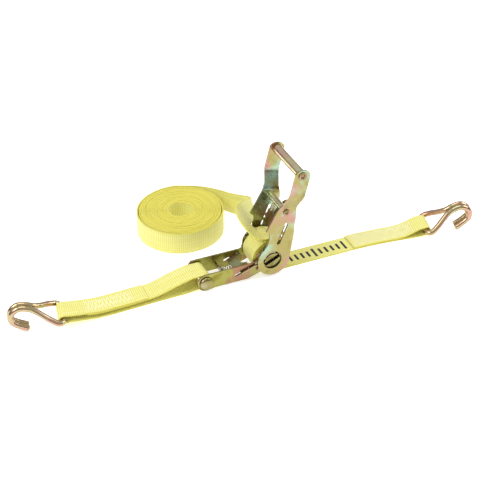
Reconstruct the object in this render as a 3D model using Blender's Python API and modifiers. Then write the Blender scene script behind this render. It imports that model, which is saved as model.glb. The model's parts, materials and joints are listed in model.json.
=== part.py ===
"""Ratchet tie-down with an over-centre handle, two wire hooks and one-inch webbing.

Frame: the origin is on the floor straight under the ratchet's hub. +X runs along the tightened
strap towards its far hook, +Y is the ratchet's rear side, +Z is up. Blender units are metres.
"""
import math

import bmesh
import bpy
from mathutils import Matrix, Vector

MM = 0.001
CLEAR = 0.3 * MM                      # running clearance between neighbouring pieces

# Webbing
WEB_WIDTH = 25.4 * MM
WEB_THICK = 1.5 * MM

# Ratchet body, front and rear pieces mirrored about Y = 0
HUB_HEIGHT = 22.0 * MM
PLATE_THICK = 2.0 * MM
FRAME_PLATE_Y = 15.0 * MM             # mid-plane of each frame plate
WHEEL_Y = 17.55 * MM                  # mid-plane of each ratchet wheel
WHEEL_THICK = 2.5 * MM
HANDLE_PLATE_Y = 20.2 * MM            # mid-plane of each handle plate beside the hub
INSIDE_HALF = 13.7 * MM               # half the free width between the frame plates
TAIL_X, TAIL_Z = -74.5 * MM, 10.5 * MM
TAIL_END_RADIUS = 9.8 * MM
FRAME_HUB_RADIUS = 15.0 * MM
FRAME_FOOT_Z = 2.0 * MM

# Mandrel, ratchet wheels and the wound strap
TEETH = 12
TOOTH_TIP_RADIUS = 19.5 * MM
TOOTH_ROOT_RADIUS = 15.5 * MM
GULLET_ANGLE = 13.0                   # degrees above +X of one tooth gap
SHAFT_HOLE_RADIUS = 9.6 * MM
SHAFT_TILT = 25.0                     # degrees, lie of the slot between the half shafts
SHAFT_SLOT_HALF = 2.2 * MM
SHAFT_CHORD_HALF = 9.0 * MM
SHAFT_THICK = 5.2 * MM
SHAFT_HALF_LENGTH = 20.9 * MM
WRAP_RADIUS = 20.0 * MM
CLIP_RADIUS = 9.45 * MM
CLIP_WIRE = 0.8 * MM

# Handle, drawn upright: u runs from the hub to the grip, v runs to the handle's right
HANDLE_LEAN = 15.0                    # degrees the handle leans from upright towards +X
HANDLE_HUB_HOLE = 10.7 * MM
CRANK_START, CRANK_END = 63.0 * MM, 82.0 * MM
CRANK_OFFSET = 10.8 * MM
CROSSBAR_U = 58.6 * MM
GRIP_U = 107.4 * MM
GRIP_CAP = 0.78                        # flattening of each plate's round top
GRIP_RADIUS = 5.2 * MM
GRIP_BORE = 3.4 * MM
CROSSBAR_RADIUS = 3.8 * MM
CROSSBAR_BORE = 2.6 * MM
PAWL_SLOT_WIDTH = 4.0 * MM

# Pawls slide on straight lines; zero is the tip fully down in a tooth gap
PAWL_THICK = 2.4 * MM
PAWL_TIP_RADIUS = 16.0 * MM
PAWL_EAR_INNER, PAWL_EAR_OUTER = 16.4 * MM, 18.7 * MM
LOCK_TIP_ANGLE, LOCK_DIRECTION = 193.0, 198.0
DRIVE_TIP_ANGLE, DRIVE_DIRECTION = 73.0, 67.0
DRIVE_LIFT = 4.0 * MM                 # the drive pawl is drawn riding on the tooth tips

# Wire hooks: a is along the hook, h is up, s is across; the bar is the closed end
WIRE_RADIUS = 3.2 * MM
BAR_HALF = 17.4 * MM
LOOP_GAP = 0.7 * MM
RIGHT_BAR = Vector((191.0, -11.0, 8.0)) * MM
RIGHT_YAW = -14.0
RIGHT_PITCH = -1.9
LEFT_BAR = Vector((-231.0, -8.0, 14.0)) * MM
LEFT_YAW = -12.0
LEFT_PITCH = -11.0

# Free webbing
COIL_X, COIL_Y = -54.0 * MM, 104.0 * MM
COIL_OUTER, COIL_INNER = 48.6 * MM, 13.0 * MM

FINISHES = {
    "yellow_zinc": ((0.42, 0.38, 0.17), 0.34, 1.0),
    "zinc_wire": ((0.52, 0.37, 0.28), 0.25, 1.0),
    "webbing": ((0.74, 0.70, 0.13), 0.85, 0.0),
    "spring_steel": ((0.45, 0.40, 0.33), 0.35, 1.0),
}


def clear_scene():
    """Start from an empty file."""
    for old in list(bpy.data.objects):
        bpy.data.objects.remove(old, do_unlink=True)


def collection(name):
    """A collection linked to the scene."""
    group = bpy.data.collections.new(name)
    bpy.context.scene.collection.children.link(group)
    return group


clear_scene()
PARTS = collection("ratchet_tie_down")


def own_material(name, finish):
    """A Principled material of the part's own, in one of the shared finishes."""
    colour, roughness, metallic = FINISHES[finish]
    material = bpy.data.materials.new(name)
    material.use_nodes = True
    shader = material.node_tree.nodes["Principled BSDF"]
    shader.inputs["Base Color"].default_value = (*colour, 1.0)
    shader.inputs["Roughness"].default_value = roughness
    shader.inputs["Metallic"].default_value = metallic
    material.diffuse_color = (*colour, 1.0)
    return material


def add_part(name, data, finish, frame):
    """Link one sub-part, placed by its frame matrix."""
    part = bpy.data.objects.new(name, data)
    data.materials.append(own_material(name, finish))
    part.matrix_world = frame
    PARTS.objects.link(part)
    return part


def as_mesh(part):
    """Turn a curve part into a closed mesh part with the same name and place."""
    bpy.context.view_layer.update()
    graph = bpy.context.evaluated_depsgraph_get()
    mesh = bpy.data.meshes.new_from_object(part.evaluated_get(graph))
    bm = bmesh.new()
    bm.from_mesh(mesh)
    bmesh.ops.remove_doubles(bm, verts=bm.verts, dist=0.001 * MM)
    bmesh.ops.recalc_face_normals(bm, faces=bm.faces)
    bm.to_mesh(mesh)
    bm.free()
    name = part.name
    solid = bpy.data.objects.new(name + "_mesh", mesh)
    solid.matrix_world = part.matrix_world
    PARTS.objects.link(solid)
    bpy.data.objects.remove(part, do_unlink=True)
    solid.name = name
    return solid


def arc(centre, radius, start, end, count):
    """Points on an arc, angles in degrees."""
    points = []
    for step in range(count + 1):
        angle = math.radians(start + (end - start) * step / count)
        points.append((centre[0] + radius * math.cos(angle), centre[1] + radius * math.sin(angle)))
    return points


def rounded(corners, count=4):
    """An outline from (x, y, corner radius) entries."""
    points = []
    for index, (x, y, radius) in enumerate(corners):
        here = Vector((x, y))
        if radius == 0:
            points.append((x, y))
            continue
        before = Vector(corners[index - 1][:2]) - here
        after = Vector(corners[(index + 1) % len(corners)][:2]) - here
        before.normalize()
        after.normalize()
        half = before.angle(after) / 2
        reach = radius / math.tan(half)
        middle = here + (before + after).normalized() * (radius / math.sin(half))
        first = here + before * reach - middle
        turn = first.angle_signed(here + after * reach - middle)
        for step in range(count + 1):
            points.append(tuple(middle + Matrix.Rotation(-turn * step / count, 2) @ first))
    return points


def slot(centre, direction, length, width, count=4):
    """A round-ended slot, its length given between the end centres."""
    along = Vector((math.cos(math.radians(direction)), math.sin(math.radians(direction))))
    start = Vector(centre) - along * length / 2
    end = Vector(centre) + along * length / 2
    return (arc(end, width / 2, direction - 90, direction + 90, count)
            + arc(start, width / 2, direction + 90, direction + 270, count))


def without_repeats(points):
    """The same outline with coinciding neighbours dropped."""
    kept = []
    for point in points:
        if not kept or (Vector(point) - Vector(kept[-1])).length > 0.01 * MM:
            kept.append(point)
    if (Vector(kept[0]) - Vector(kept[-1])).length <= 0.01 * MM:
        kept.pop()
    return kept


def plate(name, loops, thickness, frame, finish):
    """A flat piece: the first loop is its outline, the others are holes."""
    curve = bpy.data.curves.new(name, "CURVE")
    curve.dimensions = "2D"
    curve.fill_mode = "BOTH"
    curve.extrude = thickness / 2
    for loop in loops:
        loop = without_repeats(loop)
        spline = curve.splines.new("POLY")
        spline.points.add(len(loop) - 1)
        for point, (x, y) in zip(spline.points, loop):
            point.co = (x, y, 0.0, 1.0)
        spline.use_cyclic_u = True
    return add_part(name, curve, finish, frame)


def upright(frame, y):
    """A frame whose drawing plane stands up: x stays X, y becomes Z, at the given Y."""
    return frame @ Matrix.Translation((0.0, y, 0.0)) @ Matrix.Rotation(math.radians(90), 4, "X")


def turned(name, profile, frame, finish, steps=24):
    """A closed profile of (radius, height) pairs turned about the frame's Z axis."""
    mesh = bpy.data.meshes.new(name)
    corners = [(radius, 0.0, height) for radius, height in profile]
    on_axis = profile[0][0] == 0.0
    edges = [(i, i + 1) for i in range(len(corners) - 1)]
    if not on_axis:
        edges.append((len(corners) - 1, 0))
    mesh.from_pydata(corners, edges, [])
    part = add_part(name, mesh, finish, frame)
    screw = part.modifiers.new("turn", "SCREW")
    screw.angle = math.tau
    screw.steps = screw.render_steps = steps
    screw.use_merge_vertices = True
    screw.merge_threshold = 0.00001
    return part


def across(x, z):
    """A frame at (x, z) whose Z axis points to the rear, for bolts and tubes along Y."""
    return Matrix.Translation((x, 0.0, z)) @ Matrix.Rotation(math.radians(-90), 4, "X")


def tube_profile(outer, bore, half):
    """The wall of a tube centred on its length."""
    return [(outer, half), (outer, -half), (bore, -half), (bore, half)]


def wire(name, points, radius, frame, finish, sides=2):
    """A round wire along a list of points."""
    curve = bpy.data.curves.new(name, "CURVE")
    curve.dimensions = "3D"
    curve.bevel_depth = radius
    curve.bevel_resolution = sides
    curve.use_fill_caps = True
    spline = curve.splines.new("POLY")
    spline.points.add(len(points) - 1)
    for point, place in zip(spline.points, points):
        point.co = (*place, 1.0)
    return add_part(name, curve, finish, frame)


def smooth_curve(knots, count):
    """Catmull-Rom points through the knots."""
    knots = [Vector(knot) for knot in knots]
    ends = [2 * knots[0] - knots[1]] + knots + [2 * knots[-1] - knots[-2]]
    points = []
    for index in range(1, len(ends) - 2):
        p0, p1, p2, p3 = ends[index - 1:index + 3]
        for step in range(count):
            t = step / count
            points.append(0.5 * (2 * p1 + (p2 - p0) * t + (2 * p0 - 5 * p1 + 4 * p2 - p3) * t ** 2
                                 + (3 * p1 - p0 - 3 * p2 + p3) * t ** 3))
    return points + [knots[-1]]


def ribbon(name, centres, laterals):
    """Webbing along a centre line; each lateral points across its width."""
    bm = bmesh.new()
    near = [bm.verts.new(centre - side * WEB_WIDTH / 2) for centre, side in zip(centres, laterals)]
    edges = [bm.edges.new(pair) for pair in zip(near, near[1:])]
    made = bmesh.ops.extrude_edge_only(bm, edges=edges)["geom"]
    new = [item for item in made if isinstance(item, bmesh.types.BMVert)]
    reach = {tuple(vert.co): side for vert, side in zip(near, laterals)}
    for vert in new:
        vert.co += reach[tuple(vert.co)] * WEB_WIDTH
    mesh = bpy.data.meshes.new(name)
    bm.to_mesh(mesh)
    bm.free()
    part = add_part(name, mesh, "webbing", Matrix.Identity(4))
    solid = part.modifiers.new("thickness", "SOLIDIFY")
    solid.thickness = WEB_THICK
    solid.offset = 0.0
    solid.use_even_offset = True
    return part


def joint_empty(name, frame, members):
    """An empty on a joint's axis that carries the pieces of one moving body."""
    empty = bpy.data.objects.new(name, None)
    empty.empty_display_size = 10 * MM
    PARTS.objects.link(empty)
    empty.matrix_world = frame
    bpy.context.view_layer.update()
    for member in members:
        placed = member.matrix_world.copy()
        member.parent = empty
        member.matrix_parent_inverse = empty.matrix_world.inverted()
        member.matrix_world = placed
    return empty


HUB = Matrix.Translation((0.0, 0.0, HUB_HEIGHT))
HANDLE = HUB @ Matrix.Rotation(math.radians(HANDLE_LEAN), 4, "Y")


def pawl_frame(tip_angle, direction, lift):
    """A frame at a pawl's tip, its Z axis pointing away from the wheel along the slide."""
    angle = math.radians(tip_angle)
    tip = Vector((math.cos(angle), 0.0, math.sin(angle))) * PAWL_TIP_RADIUS
    turn = Matrix.Rotation(math.radians(90 - direction), 4, "Y")
    return HUB @ Matrix.Translation(tip) @ turn @ Matrix.Translation((0.0, 0.0, lift))


LOCK = pawl_frame(LOCK_TIP_ANGLE, LOCK_DIRECTION, 0.0)
DRIVE = pawl_frame(DRIVE_TIP_ANGLE, DRIVE_DIRECTION, DRIVE_LIFT)


# ---------------------------------------------------------------- frame

def frame_plates():
    """The two side plates, with a rounded tail, a round hub end and a slot for the lock pawl."""
    hub = (0.0, HUB_HEIGHT)
    tail = (TAIL_X, TAIL_Z)
    top = TAIL_Z + TAIL_END_RADIUS
    outline = arc(tail, TAIL_END_RADIUS, 90, 270, 10)
    outline += [(-64 * MM, FRAME_FOOT_Z), (-26 * MM, FRAME_FOOT_Z)]
    outline += arc(hub, FRAME_HUB_RADIUS, 245, 535, 24)
    outline += [(-22 * MM, top)]
    slide = LOCK @ Vector((0.0, 0.0, 18.6 * MM))
    guide = slot((slide.x, slide.z), LOCK_DIRECTION, 14.8 * MM, PAWL_THICK + 0.8 * MM)
    holes = [arc(hub, SHAFT_HOLE_RADIUS, 0, 345, 23), arc(tail, 4.3 * MM, 0, 337.5, 15), guide]
    return [plate("frame_plate_" + side, [outline] + holes, PLATE_THICK,
                  upright(Matrix.Identity(4), y * FRAME_PLATE_Y), "yellow_zinc")
            for side, y in (("front", -1), ("rear", 1))]


def tail_fasteners():
    """The bolt, sleeve and nut that carry the anchor strap."""
    axis = across(TAIL_X, TAIL_Z)
    head = 16.3 * MM
    bolt = turned("tail_bolt", [
        (0.0, 21.3 * MM), (3.4 * MM, 21.3 * MM), (4.0 * MM, 20.7 * MM), (4.0 * MM, -head),
        (7.2 * MM, -head), (7.2 * MM, -head - 1.4 * MM), (5.6 * MM, -head - 3.2 * MM),
        (0.0, -head - 3.6 * MM)], axis, "yellow_zinc")
    sleeve = turned("tail_sleeve", tube_profile(6.0 * MM, 4.3 * MM, 13.6 * MM), axis, "yellow_zinc")
    hexagon = arc((0.0, 0.0), 7.4 * MM, 0, 300, 5)
    bore = arc((0.0, 0.0), 4.3 * MM, 0, 337.5, 15)
    nut = plate("tail_nut", [hexagon, bore], 4.0 * MM,
                axis @ Matrix.Translation((0.0, 0.0, 18.3 * MM)), "yellow_zinc")
    return [bolt, sleeve, nut]


def spring_seat():
    """The cross plate between the frame plates that the lock spring pushes against."""
    outline = rounded([(-INSIDE_HALF, -5 * MM, 1 * MM), (INSIDE_HALF, -5 * MM, 1 * MM),
                       (INSIDE_HALF, 3 * MM, 1 * MM), (5 * MM, 3 * MM, 0), (4.2 * MM, 8 * MM, 1.5 * MM),
                       (-4.2 * MM, 8 * MM, 1.5 * MM), (-5 * MM, 3 * MM, 0), (-INSIDE_HALF, 3 * MM, 1 * MM)])
    face = LOCK @ Matrix.Translation((0.0, 0.0, 35.9 * MM)) @ Matrix.Rotation(math.radians(-90), 4, "Z")
    return plate("spring_seat", [outline], 1.8 * MM, face, "yellow_zinc")


# ---------------------------------------------------------------- mandrel

def ratchet_wheels():
    """Saw-toothed wheels: each tooth has a gentle rise and a steep locking face."""
    outline = []
    for tooth in range(TEETH):
        gap = GULLET_ANGLE + tooth * 360 / TEETH
        for radius, offset in ((TOOTH_TIP_RADIUS, -8), (TOOTH_ROOT_RADIUS, -5), (TOOTH_ROOT_RADIUS, 6),
                               (TOOTH_TIP_RADIUS, 20)):
            angle = math.radians(gap + offset)
            outline.append((radius * math.cos(angle), radius * math.sin(angle)))
    hole = arc((0.0, 0.0), SHAFT_HOLE_RADIUS, 0, 345, 23)
    return [plate("ratchet_wheel_" + side, [outline, hole], WHEEL_THICK, upright(HUB, y * WHEEL_Y),
                  "yellow_zinc") for side, y in (("front", -1), ("rear", 1))]


def shaft_halves():
    """Two D-shaped half shafts with the strap's slot between them."""
    rise = (SHAFT_CHORD_HALF ** 2 + SHAFT_THICK ** 2) / (2 * SHAFT_THICK)
    centre = (0.0, SHAFT_SLOT_HALF + SHAFT_THICK - rise)
    reach = math.degrees(math.asin(SHAFT_CHORD_HALF / rise))
    outline = arc(centre, rise, 90 - reach, 90 + reach, 12)
    return [plate("shaft_half_" + side, [outline], 2 * SHAFT_HALF_LENGTH,
                  upright(HUB @ Matrix.Rotation(math.radians(turn - SHAFT_TILT), 4, "Y"), 0.0),
                  "yellow_zinc") for side, turn in (("upper", 0), ("lower", 180))]


def shaft_clips():
    """Wire clips in the hub holes that keep the half shafts from sliding out."""
    clips = []
    middle = 90 + SHAFT_TILT
    for side, y in (("front", -20.1 * MM), ("rear", 20.1 * MM)):
        points = [(x, y, z) for x, z in arc((0.0, 0.0), CLIP_RADIUS, middle - 48, middle + 48, 14)]
        clips.append(wire("shaft_clip_" + side, points, CLIP_WIRE, HUB, "spring_steel"))
    return clips


def strap_wrap():
    """The turns of webbing wound on the half shafts, as one plain roll."""
    return turned("strap_wrap", tube_profile(WRAP_RADIUS, SHAFT_HOLE_RADIUS, WEB_WIDTH / 2),
                  across(0.0, HUB_HEIGHT), "webbing", steps=48)


# ---------------------------------------------------------------- handle

def handle_outline():
    """The handle plate's outline, from the hub's left side round its foot to the grip and back."""
    points = arc((1.5 * MM, 0.0), 18.5 * MM, 143, 372, 26)
    points += rounded([(17.2 * MM, 30 * MM, 0), (14.5 * MM, 44 * MM, 6 * MM), (13.2 * MM, 56 * MM, 5 * MM),
                       (9.6 * MM, 67 * MM, 8 * MM), (9.3 * MM, GRIP_U, 0)])[:-1]
    points += [(v, GRIP_U + (u - GRIP_U) * GRIP_CAP)
               for v, u in arc((0.5 * MM, GRIP_U), 8.8 * MM, 0, 180, 12)]
    points += rounded([(-8.3 * MM, GRIP_U, 0), (-7.6 * MM, 69 * MM, 12 * MM), (-11.5 * MM, 55 * MM, 8 * MM),
                       (-17 * MM, 33.6 * MM, 0.6 * MM), (-12.4 * MM, 31.4 * MM, 1 * MM),
                       (-10.5 * MM, 27 * MM, 3 * MM), (-10.5 * MM, 19 * MM, 5 * MM), (*points[0], 0)])[1:-1]
    return points


def handle_plates():
    """Side plates of the handle; their upper arms are cranked outwards."""
    holes = [arc((0.0, 0.0), HANDLE_HUB_HOLE, 0, 348.75, 31),
             arc((0.0, CROSSBAR_U), 2.5 * MM, 0, 330, 11),
             arc((0.0, GRIP_U), 3.2 * MM, 0, 337.5, 15)]
    seat = HANDLE.inverted() @ DRIVE @ Vector((0.0, 0.0, 12.5 * MM))
    along = DRIVE_DIRECTION + HANDLE_LEAN
    holes.append(slot((seat.x, seat.z), along, 23.0 * MM, PAWL_SLOT_WIDTH))
    plates = []
    for side, sign in (("front", -1), ("rear", 1)):
        part = as_mesh(plate("handle_plate_" + side, [handle_outline()] + holes, PLATE_THICK,
                             upright(HANDLE, sign * HANDLE_PLATE_Y), "yellow_zinc"))
        bm = bmesh.new()
        bm.from_mesh(part.data)
        for height in (CRANK_START, CRANK_END):
            bmesh.ops.bisect_plane(bm, geom=bm.verts[:] + bm.edges[:] + bm.faces[:],
                                   plane_co=(0.0, height, 0.0), plane_no=(0.0, 1.0, 0.0), dist=1e-7)
        for vert in bm.verts:
            share = (vert.co.y - CRANK_START) / (CRANK_END - CRANK_START)
            vert.co.z -= sign * CRANK_OFFSET * min(1.0, max(0.0, share))
        bm.to_mesh(part.data)
        bm.free()
        plates.append(part)
    return plates


def rivet_profile(shank, head, half, height):
    """A rivet with a low domed head and a dished centre at both ends."""
    upper = [(0.0, half + height * 0.3), (shank * 0.6, half + height * 0.3), (shank * 0.8, half + height),
             (head * 0.8, half + height * 0.9), (head, half + height * 0.3), (head, half), (shank, half)]
    return upper + [(radius, -level) for radius, level in reversed(upper)]


def handle_bars():
    """The grip and the crossbar, each a spacer tube with its rivet."""
    grip = HANDLE @ across(0.0, GRIP_U)
    bar = HANDLE @ across(0.0, CROSSBAR_U)
    outer = HANDLE_PLATE_Y + PLATE_THICK / 2 + CLEAR
    return [
        turned("grip_tube", tube_profile(GRIP_RADIUS, GRIP_BORE, outer - CLEAR * 2 - PLATE_THICK
                                         + CRANK_OFFSET), grip, "yellow_zinc"),
        turned("grip_rivet", rivet_profile(2.9 * MM, 4.6 * MM, outer + CRANK_OFFSET, 1.5 * MM),
               grip, "yellow_zinc"),
        turned("crossbar_tube", tube_profile(CROSSBAR_RADIUS, CROSSBAR_BORE, outer - CLEAR * 2
                                             - PLATE_THICK), bar, "yellow_zinc", steps=16),
        turned("crossbar_rivet", rivet_profile(2.2 * MM, 3.5 * MM, outer, 1.2 * MM),
               bar, "yellow_zinc", steps=16),
    ]


# ---------------------------------------------------------------- pawls and springs

def mirrored(half):
    """A closed outline from its right half, listed from the bottom centre to the top centre."""
    return half + [(-x, y) for x, y in reversed(half) if x > 0]


def pawl(name, half, frame):
    """A flat pawl blank: across the ratchet by along the slide."""
    face = frame @ Matrix.Rotation(math.radians(90), 4, "Z") @ Matrix.Rotation(math.radians(90), 4, "X")
    return plate(name, [mirrored(half)], PAWL_THICK, face, "yellow_zinc")


def lock_pawl():
    """The frame's pawl: a forked plate whose ears run outside the frame plates into the wheels."""
    fork = arc((0.0, 7.8 * MM), 5.5 * MM, 90, 0, 6)
    half = fork + [(13.5 * MM, 7.8 * MM), (13.5 * MM, 11 * MM), (PAWL_EAR_INNER, 11 * MM),
                   (PAWL_EAR_INNER, 0.0), (PAWL_EAR_OUTER, 0.0), (PAWL_EAR_OUTER, 20 * MM),
                   (13.5 * MM, 20 * MM), (13.5 * MM, 24 * MM), (0.0, 24 * MM)]
    return pawl("lock_pawl", half, LOCK)


def drive_pawl():
    """The handle's pawl, with guide tabs in the handle's slots and a bent finger tab."""
    tab = 20.9 * MM
    half = [(0.0, 5.5 * MM), (PAWL_EAR_INNER, 5.5 * MM), (PAWL_EAR_INNER, 0.0), (PAWL_EAR_OUTER, 0.0),
            (PAWL_EAR_OUTER, 5.0 * MM), (tab, 5.0 * MM), (tab, 8.5 * MM), (PAWL_EAR_OUTER, 8.5 * MM),
            (PAWL_EAR_OUTER, 11 * MM), (tab, 11 * MM), (tab, 14.5 * MM), (PAWL_EAR_OUTER, 14.5 * MM),
            (PAWL_EAR_OUTER, 21 * MM), (8.5 * MM, 21 * MM), (8.5 * MM, 34 * MM)]
    half += arc((0.0, 34 * MM), 8.5 * MM, 15, 90, 5)
    part = as_mesh(pawl("drive_pawl", half, DRIVE))
    bend = 22 * MM
    bm = bmesh.new()
    bm.from_mesh(part.data)
    bmesh.ops.bisect_plane(bm, geom=bm.verts[:] + bm.edges[:] + bm.faces[:],
                           plane_co=(0.0, bend, 0.0), plane_no=(0.0, 1.0, 0.0), dist=1e-7)
    for vert in bm.verts:
        vert.co.z += 0.42 * max(0.0, vert.co.y - bend)
    bm.to_mesh(part.data)
    bm.free()
    return part


def coil_spring(name, frame, y, low, high, radius, turns):
    """A compression spring along the frame's Z axis."""
    count = int(turns * 9)
    points = []
    for step in range(count + 1):
        angle = math.tau * turns * step / count
        height = low + (high - low) * step / count
        points.append((radius * math.cos(angle), y + radius * math.sin(angle), height))
    return wire(name, points, 0.45 * MM, frame, "spring_steel", sides=0)


# ---------------------------------------------------------------- hooks and webbing

def hook_route():
    """Half the hook's centre line, from the middle of the bar to the tip, as (a, s, h)."""
    bar = [(0.0, side * MM, 0.0) for side in (0.0, 6.5, 13.0)]
    bend = [(1.8, 16.2, 0.3), (5.5, BAR_HALF / MM, 1.8), (12.0, 14.0, 6.0), (19.0, 8.4, 10.8),
            (25.5, 4.2, 15.6), (32.0, 3.35, 20.0), (40.0, 3.3, 22.6), (46.5, 3.3, 20.4),
            (50.8, 3.3, 15.2), (50.6, 3.3, 8.6), (46.6, 3.3, 3.6), (41.5, 3.3, -0.4), (36.5, 3.3, -4.2)]
    knots = bar + [tuple(value * MM for value in knot) for knot in bend]
    return smooth_curve(knots, 3)


def hook(name, bar, yaw, pitch, facing):
    """A double wire hook bent from one length of wire."""
    half = hook_route()
    other = [Vector((point.x, -point.y, point.z)) for point in reversed(half[1:])]
    frame = Matrix.Translation(bar) @ Matrix.Rotation(math.radians(yaw), 4, "Z")
    if facing < 0:
        frame = frame @ Matrix.Rotation(math.pi, 4, "Z")
    frame = frame @ Matrix.Rotation(math.radians(-pitch), 4, "Y")
    return wire(name, other + half, WIRE_RADIUS, frame, "zinc_wire")


def bar_loop(bar, yaw, facing, count=10):
    """The half turn of webbing round a hook's bar, in side view, from below to above."""
    radius = WIRE_RADIUS + LOOP_GAP + WEB_THICK / 2
    points = arc((0.0, 0.0), radius, -90, 90, count)
    skew = facing / math.cos(math.radians(yaw))
    return [(bar.x + skew * x, bar.z + z) for x, z in points]


def yawed(points, start_x, bar, yaw):
    """Side-view points carried sideways along a gentle curve that ends square to the bar."""
    centres, laterals = [], []
    span = bar.x - start_x
    for x, z in points:
        share = min(1.0, max(0.0, (x - start_x) / span))
        angle = math.radians(yaw) * share
        centres.append(Vector((x, bar.y * share ** 2, z)))
        laterals.append(Vector((-math.sin(angle), math.cos(angle), 0.0)))
    return centres, laterals


def main_strap():
    """The tightened strap: flat on the floor, doubled and sewn near the far hook."""
    low = WEB_THICK / 2
    step = WEB_THICK + 0.2 * MM
    below = smooth_curve([(-6 * MM, low), (60 * MM, low), (110 * MM, low), (140 * MM, low),
                          (165 * MM, low + 0.4 * MM), (182 * MM, low + 1.4 * MM)], 4)
    above = smooth_curve([(184 * MM, RIGHT_BAR.z + 3.6 * MM), (165 * MM, low + step + 1.4 * MM),
                          (140 * MM, low + step), (104 * MM, low + step)], 4)
    route = [tuple(p) for p in below] + bar_loop(RIGHT_BAR, RIGHT_YAW, 1) + [tuple(p) for p in above]
    centres, laterals = yawed(route, 100 * MM, RIGHT_BAR, RIGHT_YAW)
    return ribbon("main_strap", centres, laterals)


def anchor_strap():
    """A sewn endless loop between the ratchet's tail and the near hook."""
    low = WEB_THICK / 2 + 0.25 * MM
    step = WEB_THICK + 0.2 * MM
    inner = smooth_curve([(-205 * MM, 10.3 * MM), (-185 * MM, 7.2 * MM), (-150 * MM, 6.2 * MM),
                          (-128 * MM, 7.6 * MM), (-105 * MM, 14.0 * MM), (-88 * MM, 18.0 * MM)], 4)
    round_sleeve = arc((TAIL_X, TAIL_Z), 6.0 * MM + LOOP_GAP + WEB_THICK / 2, 105, -90, 12)
    below = smooth_curve([(-84 * MM, 2.4 * MM), (-104 * MM, low), (-160 * MM, low), (-190 * MM, 2.6 * MM),
                          (-214 * MM, 6.9 * MM), (-224 * MM, 9.2 * MM)], 4)
    above = smooth_curve([(-223 * MM, 16.4 * MM), (-205 * MM, 10.3 * MM + step), (-185 * MM, 7.2 * MM + step),
                          (-150 * MM, 6.2 * MM + step), (-138 * MM, 6.45 * MM + step)], 4)
    route = [tuple(p) for p in inner] + round_sleeve + [tuple(p) for p in below]
    route += bar_loop(LEFT_BAR, LEFT_YAW, -1) + [tuple(p) for p in above]
    centres, laterals = yawed(route, -110 * MM, LEFT_BAR, LEFT_YAW)
    return ribbon("anchor_strap", centres, laterals)


TAIL_ROUTE = (                         # centre, then the direction across the webbing
    ((-37, 151.3, 12.8), (0.0, 0.0, 1.0)), ((-16, 140.5, 12.8), (0.0, 0.0, 1.0)),
    ((0, 125, 13.2), (-0.06, 0.08, 0.99)), ((9.5, 105, 16.5), (-0.1, 0.26, 0.96)),
    ((15.5, 85, 23.5), (-0.1, 0.4, 0.9)), ((16, 66, 32.5), (-0.08, 0.5, 0.86)),
    ((9.5, 48, 43), (-0.12, 0.55, 0.82)), ((-6, 33, 52), (-0.3, 0.5, 0.8)),
    ((-16, 20, 56), (-0.55, 0.25, 0.8)), ((-17.5, 11, 54.5), (-0.68, -0.2, 0.71)),
    ((-14.5, 4.5, 49.8), (-0.62, -0.65, 0.44)), ((-10.2, 0.6, 45.4), (-0.35, -0.93, 0.14)),
    ((-4.5, 0, 43.4), (0.0, -1.0, 0.0)),
)


def square_to(centres, laterals):
    """The same directions across the webbing, made square to its line."""
    squared = []
    for index, side in enumerate(laterals):
        ahead = (centres[min(index + 1, len(centres) - 1)] - centres[max(index - 1, 0)]).normalized()
        squared.append((side - ahead * side.dot(ahead)).normalized())
    return squared


def tail_strap():
    """The strap's free end: on edge where it leaves the coil, twisting flat on to the roll."""
    centres = smooth_curve([Vector(place) * MM for place, _ in TAIL_ROUTE], 4)
    laterals = [side.normalized() for side in smooth_curve([side for _, side in TAIL_ROUTE], 4)]
    return ribbon("tail_strap", centres, square_to(centres, laterals))


def strap_coil():
    """The stored length, wound on edge into a flat coil."""
    wall = [(COIL_OUTER, WEB_WIDTH), (COIL_OUTER, 0.0), (COIL_INNER, 0.0), (COIL_INNER, WEB_WIDTH)]
    return turned("strap_coil", wall, Matrix.Translation((COIL_X, COIL_Y, 0.0)), "webbing", steps=48)


# ---------------------------------------------------------------- assembly

def build():
    """Make every piece and hang the moving ones on their axes."""
    frame_plates()
    tail_fasteners()
    spring_seat()
    coil_spring("lock_spring", LOCK, 0.0, 24.9 * MM, 34.4 * MM, 3.0 * MM, 5)
    main_strap()
    tail_strap()
    strap_coil()
    joint_empty("mandrel_axis", HUB, ratchet_wheels() + shaft_halves() + shaft_clips() + [strap_wrap()])
    joint_empty("handle_axis", HANDLE, handle_plates() + handle_bars()
                + [coil_spring("drive_spring_" + side, DRIVE, y * 13 * MM, 21.7 * MM, 33.0 * MM,
                               2.3 * MM, 6) for side, y in (("front", -1), ("rear", 1))])
    joint_empty("lock_pawl_slide", LOCK, [lock_pawl()])
    joint_empty("drive_pawl_slide", DRIVE, [drive_pawl()])
    joint_empty("tail_axis", Matrix.Translation((TAIL_X, 0.0, TAIL_Z)), [anchor_strap()])
    joint_empty("left_bar_axis", Matrix.Translation(LEFT_BAR),
                [hook("hook_left", LEFT_BAR, LEFT_YAW, LEFT_PITCH, -1)])
    joint_empty("right_bar_axis", Matrix.Translation(RIGHT_BAR),
                [hook("hook_right", RIGHT_BAR, RIGHT_YAW, RIGHT_PITCH, 1)])


build()
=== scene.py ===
# %% [markdown]
# # A ratchet tie-down
# A one-inch cargo strap with a hand ratchet in the middle and a double wire hook at each end.
# The solid model gives every hard piece its place. Here the same pieces get rounded edges, real
# wire, woven webbing and plated metal, and each one rides on the body that moves it.

# %% Load the solid model as a fixed frame
import json
import math
from collections import namedtuple

import bmesh
import bpy
from mathutils import Matrix, Vector


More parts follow.
